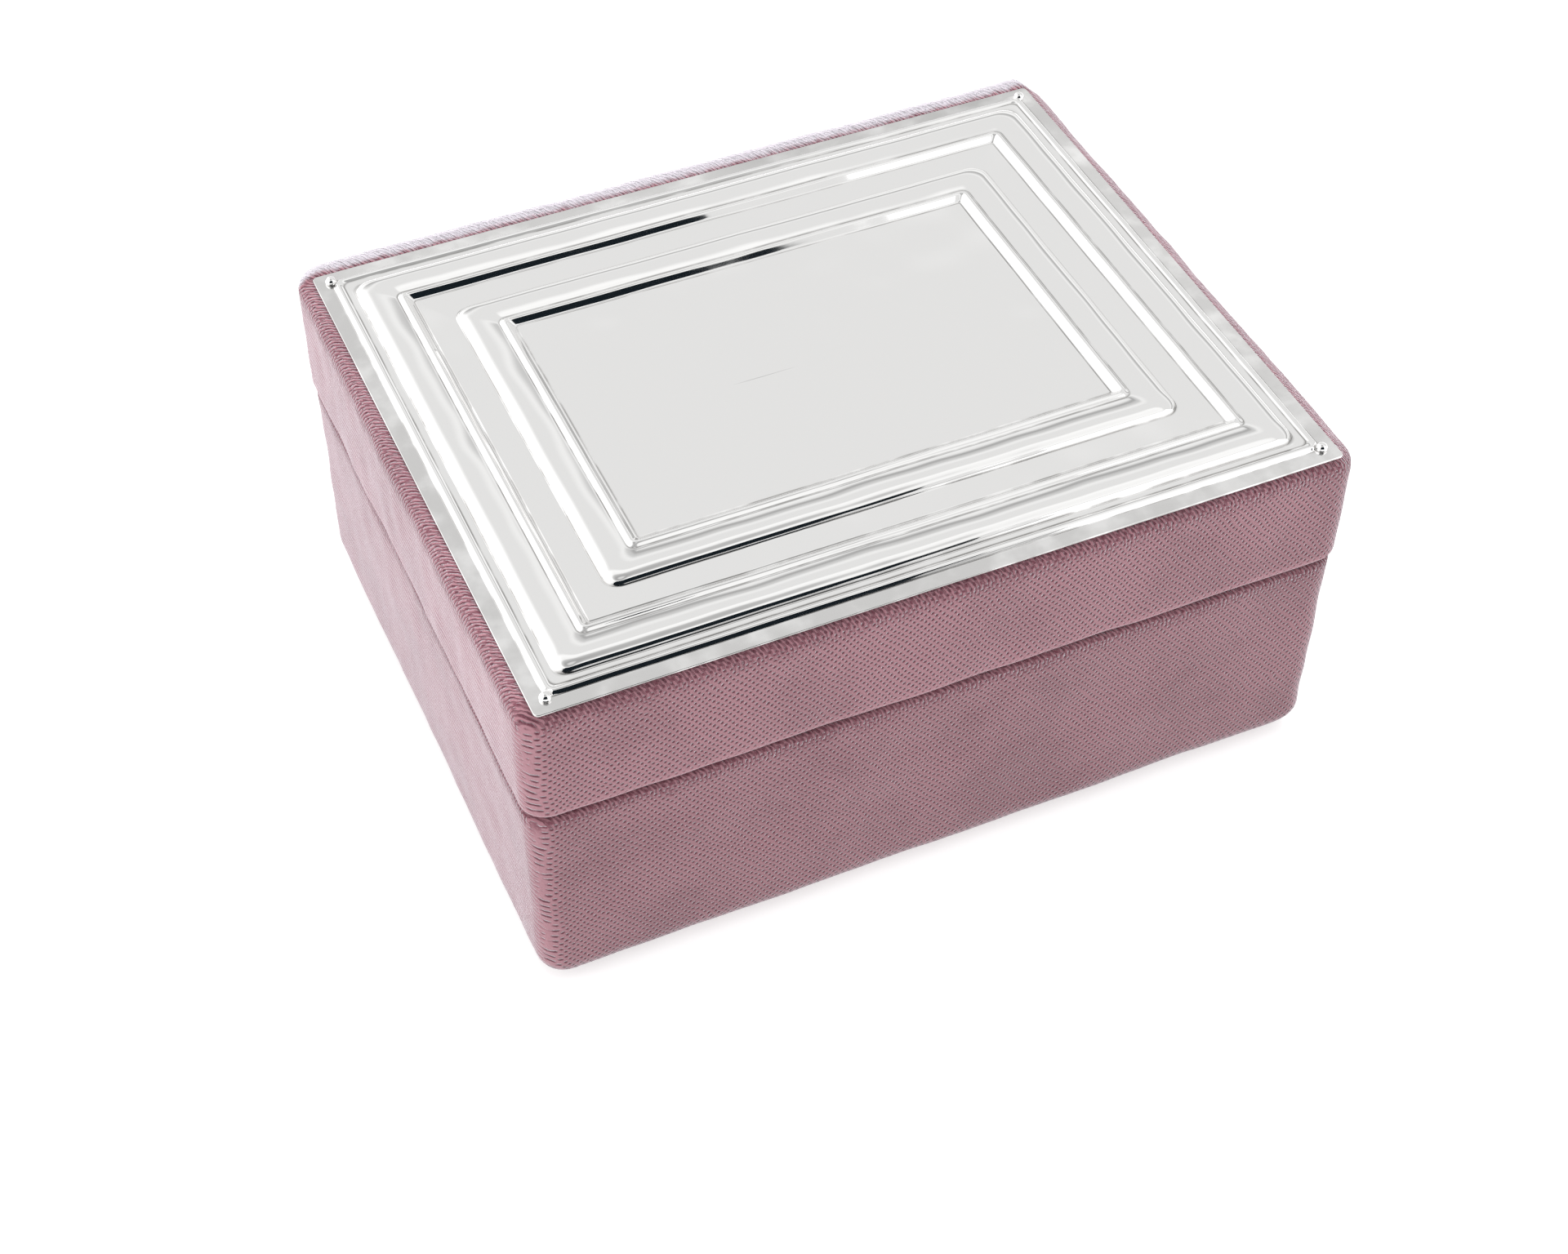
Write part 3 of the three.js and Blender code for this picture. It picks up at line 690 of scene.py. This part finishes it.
def lid_cover(material):
    low, high = LID_LOW, LID_HIGH
    z0, z1 = low[2], high[2]
    inner = VELVET
    top_hem = 12.0  # how far the velvet reaches in under the plate
    runs = [
        [(RIM_WIDTH, z0, 0.6)],
        rounded_edge(0, z0, LID_RIM_FILLET, "bottom", 8, CORNER_RADIUS),
        rounded_edge(0, z1, LID_TOP_FILLET, "top", 8, CORNER_RADIUS),
        [(top_hem, z1, 2.0)],
        [(top_hem, z1 - inner, 2.0)],
        rounded_edge(inner, z1 - inner, LID_TOP_FILLET - inner, "top", 5, CORNER_RADIUS - inner)[::-1],
        [(inner + 0.2, z0 + inner, CORNER_RADIUS - inner)],
        [(RIM_WIDTH, z0 + inner, 0.6)],
    ]
    lid = velvet_shell("velvet_lid", low, high, runs, material, 7)
    shape_margins(lid, z1)
    return lid


def shape_margins(lid, top):
    """The velvet swells up behind the plate and sags a little beyond its right end."""
    points = read_points(lid)
    near_top = np.clip((points[:, 2] - top + 5) / 5, 0, 1)
    behind = np.clip((points[:, 1] - PLATE_HIGH[1] + 0.4) / 1.6, 0, 1)
    beyond = np.clip((points[:, 0] - PLATE_HIGH[0] + 0.5) / 4.0, 0, 1)
    points[:, 2] += BACK_PUFF * behind ** 2 * (3 - 2 * behind) * near_top * (1 - beyond)
    points[:, 2] -= END_SAG * beyond * near_top
    points[:, 0] -= END_SAG * 0.9 * beyond * near_top
    near_rim = np.clip((LID_LOW[2] + 3 - points[:, 2]) / 3, 0, 1)
    points[:, 2] += near_rim * (0.18 + Ripples(31, 14)(points * [1, 1, 0]) * 0.13)
    write_points(lid, points)
    lid.data.update()


# ---- silver plate ----------------------------------------------------------


def moulding_knots(foot_inset, foot_height, inner_flat):
    """One stepped moulding as (inset, height, corner radius) knots, from its foot inwards.

    A quarter-round, a falling crown, a crease, a bead and a steep bevel down to the flat.
    """
    rise = 1.5
    quarter = 2.9
    crown_fall = 0.52
    crown = 3.6
    knots = []
    for angle in arc_steps(16):
        knots.append((quarter * (1 - math.cos(angle)), rise * math.sin(angle), 3.2))
    for step in np.linspace(0, 1, 9)[1:]:
        knots.append((quarter + crown * step, rise - crown_fall * step ** 1.7, 2.8 - step))
    knots += [(6.85, 0.92, 1.5), (7.15, 1.1, 1.5), (7.55, 1.38, 1.4), (7.9, 1.5, 1.2)]
    knots += [(8.2, 1.42, 0.9), (9.4, 0.34, 0.6), (9.6, 0.28, 0.5), (9.9, inner_flat, 0.35)]
    return [(foot_inset + inset, foot_height + height, radius) for inset, height, radius in knots]


def plate_knots():
    outer = [(0, 0, 1.0), (3.0, 0.14, 1.0), (3.2, 0.42, 1.0), (3.5, 0.82, 1.1), (3.9, 0.95, 1.1)]
    outer += [(4.4, 0.86, 1.1), (4.9, 0.6, 1.2), (6.0, 0.56, 2.0), (6.3, 0.5, 2.4)]
    first = moulding_knots(6.4, 0.55, 0.45)
    second = moulding_knots(22.0, 0.75, 0.38)
    return np.array(outer + first + second)


def plate_profile(step=0.13, blur=0.075):
    """Evenly spaced (inset, height, radius) samples of the stamping, with softened creases."""
    knots = plate_knots()
    last = knots[-1, 0] + 0.8
    insets = np.arange(0, last, step)
    fine = np.arange(-1, last + 1, 0.02)
    heights = np.interp(fine, knots[:, 0], knots[:, 1])
    kernel = np.exp(-0.5 * (np.arange(-0.5, 0.5, 0.02) / blur) ** 2)
    heights = np.convolve(heights, kernel / kernel.sum(), mode="same")
    radii = np.interp(insets, knots[:, 0], knots[:, 2])
    return insets, np.interp(insets, fine, heights), radii


def tarnish_at(insets):
    """How dark the plate's top stays: most in the creases, some on the outer flange."""
    nearest = np.abs(insets[:, None] - np.array(CREASE_INSETS)).min(1)
    amounts = CREASE_TARNISH * np.exp(-(nearest / 0.13) ** 2)
    amounts[insets < 2.8] = FLANGE_HAZE
    return amounts


def stamped_plate(material):
    """A thin closed sheet: the relief on top and the same relief a sheet's thickness below."""
    width, depth = PLATE_SIZE[:2]
    insets, heights, radii = plate_profile()
    floor_insets = np.arange(insets[-1] + 1.2, depth / 2 - 0.6, 1.6)
    insets = np.concatenate([insets, floor_insets])
    heights = np.concatenate([heights, np.full(len(floor_insets), heights[-1])])
    radii = np.concatenate([radii, np.full(len(floor_insets), radii[-1])])
    top = [(width - 2 * i, depth - 2 * i, r, EDGE_Z + h) for i, h, r in zip(insets, heights, radii)]
    under = [(w, d, r, z - SHEET) for w, d, r, z in top[::6]][::-1]
    under[-1] = (width - 0.1, depth - 0.1, 1.0, EDGE_Z - SHEET)
    roll = [(width, depth, 1.0, EDGE_Z - 0.3), (width, depth, 1.0, EDGE_Z - 0.1)]
    start = (width - 0.16, depth - 0.16, 1.0, top[0][3])
    points, faces = loft(under + roll + [start] + top[1:], 100, 8)
    ring_count = len(rounded_ring(width, depth, 1.0, 100, 8))
    first_top = (len(under) + len(roll)) * ring_count
    seat_at_nails(points, first_top)
    relief = np.clip((points[:, 2] - EDGE_Z) / 0.6, 0, 1)
    waves = Ripples(21, 17)(points * [1, 1, 0]) * 0.030 + Ripples(22, 9)(points * [1, 1, 0]) * 0.007
    points[:, 2] += waves * (0.55 + 0.45 * relief)
    points[:, :2] += PLATE_MIDDLE[:2]
    plate = new_object("plate_stamped", points, faces, material)
    # Painted shade on the rolled edge and the underside; tarnish on the top.
    creases = np.full(len(points), UNDERSIDE_PAINTED_SHADE)
    creases[first_top:] = np.repeat(tarnish_at(insets), ring_count)
    plate.data.attributes.new("crease", "FLOAT", "POINT").data.foreach_set("value", creases)
    return plate


def nail_places():
    """Where the nails stand on the plate, from its middle."""
    for node in NAILS:
        low, high = box(node)
        yield node, (low + high)[:2] / 2 - PLATE_MIDDLE[:2]


def seat_at_nails(points, first_top):
    """Presses a small flat seat into the sheet under each nail's head."""
    for _, (x, y) in nail_places():
        distance = np.hypot(points[:, 0] - x, points[:, 1] - y)
        pressed = np.clip((NAIL_RADIUS + 0.4 - distance) / 0.3, 0, 1)
        seat = np.full(len(points), EDGE_Z + 0.1)
        seat[:first_top] -= SHEET
        pressed[:first_top] *= points[:first_top, 2] > seat[:first_top]
        points[:, 2] += (seat - points[:, 2]) * pressed


def nail_head(name, x, y, material):
    """A domed head whose rim sits just clear of the plate."""
    profile = [(0.0, NAIL_RIM_Z), (0.9, NAIL_RIM_Z), (1.12, NAIL_RIM_Z + 0.12)]
    for angle in arc_steps(8):
        profile.append((NAIL_RADIUS * math.cos(angle), NAIL_RIM_Z + 0.25 + 1.05 * math.sin(angle)))
    return lathe(name, profile, (x, y), material)


def lathe(name, profile, centre, material, sides=40):
    """A turned piece about a vertical axis, from (radius, z) points that end on the axis."""
    angles = np.arange(sides) * 2 * math.pi / sides
    rings = profile[1:-1]
    points = [(centre[0], centre[1], profile[0][1])]
    around = [(math.cos(angle), math.sin(angle)) for angle in angles]
    for radius, z in rings:
        points.extend((centre[0] + radius * x, centre[1] + radius * y, z) for x, y in around)
    points.append((centre[0], centre[1], profile[-1][1]))
    last = len(points) - 1
    faces = [(0, 1 + (i + 1) % sides, 1 + i) for i in range(sides)]
    for ring in range(len(rings) - 1):
        a, b = 1 + ring * sides, 1 + (ring + 1) * sides
        faces.extend((a + i, a + (i + 1) % sides, b + (i + 1) % sides, b + i) for i in range(sides))
    top = 1 + (len(rings) - 1) * sides
    faces.extend((top + i, top + (i + 1) % sides, last) for i in range(sides))
    return new_object(name, points, faces, material)


# ---- room for the hinges in the velvet -------------------------------------


def cut_hinge_rooms(cover):
    """Opens the velvet round both hinges' leaves and knuckles."""
    for side in HINGE_SIDES:
        low, high = box(f"hinge_{side}_base_leaf")
        pin_low, pin_high = box(f"hinge_{side}_pin")
        low = np.minimum(low, pin_low) - 0.3
        high = np.maximum(high, pin_high) + 0.3
        cutter = block_object(f"room_{side}", low, high)
        cut = cover.modifiers.new("room", "BOOLEAN")
        cut.operation = "DIFFERENCE"
        cut.solver = "EXACT"
        cut.object = cutter
        apply_modifiers(cover)
        bpy.data.objects.remove(cutter)


def block_object(name, low, high):
    corners = [(x, y, z) for x in (low[0], high[0]) for y in (low[1], high[1]) for z in (low[2], high[2])]
    faces = [(0, 1, 3, 2), (4, 6, 7, 5), (0, 4, 5, 1), (2, 3, 7, 6), (0, 2, 6, 4), (1, 5, 7, 3)]
    mesh = bpy.data.meshes.new(name)
    mesh.from_pydata([tuple(np.array(corner) * MM) for corner in corners], [], faces)
    obj = bpy.data.objects.new(name, mesh)
    bpy.context.collection.objects.link(obj)
    return obj


def apply_modifiers(obj):
    graph = bpy.context.evaluated_depsgraph_get()
    mesh = bpy.data.meshes.new_from_object(obj.evaluated_get(graph))
    obj.modifiers.clear()
    obj.data = mesh


# ---- softened copies of the harder pieces ----------------------------------


def softened(node, material, edge, segments=2):
    """A copy of a CAD node with its edges rounded, in its own material."""
    obj = bpy.data.objects.new(f"{node}_soft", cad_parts[node].data.copy())
    bpy.context.collection.objects.link(obj)
    obj.data.materials.clear()
    obj.data.materials.append(material)
    weld = obj.modifiers.new("weld", "WELD")
    weld.merge_threshold = 0.00001
    planar = obj.modifiers.new("planar", "DECIMATE")
    planar.decimate_type = "DISSOLVE"
    planar.angle_limit = math.radians(1)
    bevel = obj.modifiers.new("bevel", "BEVEL")
    bevel.width = edge * MM
    bevel.segments = segments
    bevel.limit_method = "ANGLE"
    bevel.angle_limit = math.radians(40)
    obj.modifiers.new("normals", "WEIGHTED_NORMAL")
    obj.data.polygons.foreach_set("use_smooth", [True] * len(obj.data.polygons))
    apply_modifiers(obj)
    return obj


def bevelled_mirror(material):
    """The glass, with a wide polished facet round its front edge."""
    low, high = box("mirror")
    width, depth = (high - low)[:2]
    facet = 9.0
    sections = [
        (width - 2 * facet, depth - 2 * facet, 0.3, low[2]),
        (width, depth, 0.3, low[2] + 0.9),
        (width, depth, 0.3, high[2]),
    ]
    points, faces = loft(sections, 1, 1)
    points[:, :2] += ((low + high) / 2)[:2]
    return new_object("mirror_glass", points, faces, material, smooth=False)


# ---- padded pieces, inflated by the cloth solver ---------------------------


def inflate(obj, voxel, cap, low, high, held=None):
    """Swells a closed form with cloth pressure, keeping it in the room between low and high."""
    start = obj.data
    remesh = obj.modifiers.new("remesh", "REMESH")
    remesh.mode = "VOXEL"
    remesh.voxel_size = voxel * MM
    apply_modifiers(obj)
    bpy.data.meshes.remove(start)
    count = len(obj.data.vertices)
    before = read_points(obj)
    obj.data.vertices.foreach_set("co", (before * MM * CLOTH_SCALE).ravel())
    cloth = obj.modifiers.new("cloth", "CLOTH")
    settings = cloth.settings
    settings.quality = 6
    settings.mass = 0.3
    settings.tension_stiffness = 12
    settings.bending_stiffness = 0.6
    settings.use_pressure = True
    settings.uniform_pressure_force = 4
    settings.effector_weights.gravity = 0
    cloth.point_cache.frame_start = 1
    cloth.point_cache.frame_end = CLOTH_FRAMES
    if held is not None:
        group = obj.vertex_groups.new(name="held")
        group.add([int(i) for i in np.nonzero(held(before))[0]], 1.0, "REPLACE")
        settings.vertex_group_mass = "held"
    for step in range(1, CLOTH_FRAMES + 1):
        bpy.context.scene.frame_set(step)
    apply_modifiers(obj)
    after = read_points(obj) / CLOTH_SCALE
    assert len(after) == count
    moved = after - before
    length = np.linalg.norm(moved, axis=1)[:, None]
    after = before + moved * np.minimum(1, cap / np.maximum(length, 1e-9))
    after = np.clip(after, low, high)
    write_points(obj, after)
    obj.vertex_groups.clear()
    bpy.context.scene.frame_set(1)


def smooth_once(obj):
    finer = obj.modifiers.new("finer", "SUBSURF")
    finer.levels = 1
    apply_modifiers(obj)
    obj.data.polygons.foreach_set("use_smooth", [True] * len(obj.data.polygons))


def roll_form(node, material):
    """A stuffed tube with tucked ends and a flat underside, a little smaller than its room."""
    low, high = box(node)
    middle = (low + high) / 2
    half = (high - low) / 2 - 0.45
    sections = 30
    sides = 28
    points = []
    for section in range(sections + 1):
        t = section / sections * 2 - 1
        tuck = (1 - abs(t) ** 14) ** 0.5 * 0.22 + 0.78
        for side in range(sides):
            angle = side / sides * 2 * math.pi
            across, up = math.cos(angle), math.sin(angle)
            up = up if up > 0 else -abs(up) ** 0.45
            across = math.copysign(abs(across) ** 0.8, across)
            points.append((
                middle[0] + t * half[0],
                middle[1] + across * half[1] * tuck,
                middle[2] + up * half[2] * tuck,
            ))
    faces = []
    for section in range(sections):
        a, b = section * sides, (section + 1) * sides
        faces.extend((a + i, b + i, b + (i + 1) % sides, a + (i + 1) % sides) for i in range(sides))
    faces.append(tuple(range(sides)))
    faces.append(tuple(sections * sides + i for i in reversed(range(sides))))
    return new_object(f"{node}_pad", points, faces, material)


def ring_rolls(material):
    """All the rolls take the shape of one inflated roll, each with its own small wrinkles."""
    nodes = sorted(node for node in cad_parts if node.startswith("ring_roll"))
    low, high = box(nodes[0])
    first = roll_form(nodes[0], material)
    inflate(first, 1.4, 1.2, low + 0.08, high - 0.08)
    smooth_once(first)
    shape = read_points(first)
    for order, node in enumerate(nodes):
        roll = first
        if order:
            roll = bpy.data.objects.new(f"{node}_pad", first.data.copy())
            bpy.context.collection.objects.link(roll)
        shift = box(node)[0] - low
        middle = (low + high) / 2
        wrinkles = Ripples(60 + order, 11)((shape + shift) * [0.6, 1, 1]) * 0.10
        wrinkles += Ripples(80 + order, 3.5)(shape + shift) * 0.04
        outwards = (shape - middle) * [0, 1, 1]
        outwards /= np.maximum(np.linalg.norm(outwards, axis=1), 1e-6)[:, None]
        points = np.clip(shape + outwards * wrinkles[:, None], low + 0.05, high - 0.05) + shift
        write_points(roll, points)
        roll.data.update()
        attach(roll, "base", node)


def frame_pad(material):
    """The padded frame that holds the mirror, mitred at its corners."""
    low, high = box("mirror_frame")
    pad = bpy.data.objects.new("mirror_frame_pad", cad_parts["mirror_frame"].data.copy())
    bpy.context.collection.objects.link(pad)
    pad.data.materials.clear()
    pad.data.materials.append(material)
    start = pad.data
    bevel = pad.modifiers.new("bevel", "BEVEL")
    bevel.width = 1.1 * MM
    bevel.segments = 3
    bevel.limit_method = "ANGLE"
    bevel.angle_limit = math.radians(50)
    apply_modifiers(pad)
    bpy.data.meshes.remove(start)
    glass_low, glass_high = box("mirror")
    behind_glass = glass_low[2] - 0.4
    inflate(pad, 1.6, 0.7, low + 0.05, high - 0.02, held=lambda points: points[:, 2] > behind_glass)
    points = read_points(pad)
    over_glass = np.all(np.abs(points[:, :2]) < glass_high[:2] + 0.2, axis=1)
    points[over_glass, 2] = np.minimum(points[over_glass, 2], glass_low[2] - 0.1)
    mitre_gap = np.abs((high[0] - np.abs(points[:, 0])) - (high[1] - np.abs(points[:, 1])))
    front = np.clip((low[2] + 2.2 - points[:, 2]) / 2.2, 0, 1)
    points[:, 2] += 0.55 * np.exp(-(mitre_gap / 1.3) ** 2) * front
    write_points(pad, points)
    smooth_once(pad)
    return pad


# ---- attaching pieces ------------------------------------------------------


def attach(piece, body, node):
    """Parents a piece to its body's empty and hides the CAD node it stands in for."""
    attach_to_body(piece, body)
    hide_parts(node)


# ---- build -----------------------------------------------------------------

make_camera()
make_studio()

silver = silver_material()
# The base's copy is painted darker than the lid's (tone 0.92 against 1.03): painted shade on the lower
# part of the box.
base_pink = velvet_material(
    "velvet_base", 0.92, BASE_HIGH[2] * MM, 0.0042, rim_low=NOWHERE_BELOW, sheen_from=NOWHERE_BEHIND
)
lid_pink = velvet_material(
    "velvet_lid", 1.03, LID_HIGH[2] * MM, 0.0062, rim_low=LID_LOW[2] * MM, sheen_from=PLATE_HIGH[1] * MM
)

lining = nap_material("lining", LINING_COLOR, 2400, 0.6)
padding = nap_material("padded_lining", LINING_COLOR, 2000, 0.7)
felt = nap_material("felt", FELT_COLOR, 1600, 0.4)
wood = wood_material()
filler = filler_material()
brass = brass_material()
glass = mirror_material()

base_velvet = base_cover(base_pink)
lid_velvet = lid_cover(lid_pink)
for cover in (base_velvet, lid_velvet):
    cut_hinge_rooms(cover)
attach(base_velvet, "base", "base_velvet")
attach(lid_velvet, "lid", "lid_velvet")
attach(stamped_plate(silver), "lid", "silver_plate")
for node, (x, y) in nail_places():
    head = nail_head(f"{node}_head", x + PLATE_MIDDLE[0], y + PLATE_MIDDLE[1], silver)
    attach(head, "lid", node)

ring_rolls(padding)
pad = frame_pad(padding)
attach(pad, "lid", "mirror_frame")
attach(bevelled_mirror(glass), "lid", "mirror")

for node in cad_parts:
    body = "lid" if node.startswith("lid_") or "_lid_" in node else "base"
    if node.endswith("_lining") or node.endswith("_divider"):
        attach(softened(node, lining, LINING_EDGE.get(node, CARD_EDGE), 3), body, node)
    elif node == "base_felt":
        attach(softened(node, felt, LINING_EDGE[node]), body, node)
    elif node.startswith("hinge_"):
        attach(softened(node, brass, HINGE_EDGE), body, node)

plain = {"ring_bed": padding, "plate_backing": filler}
plain.update({node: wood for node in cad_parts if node.endswith("_board")})
for node, material in plain.items():
    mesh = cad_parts[node].data
    mesh.materials.clear()
    mesh.materials.append(material)
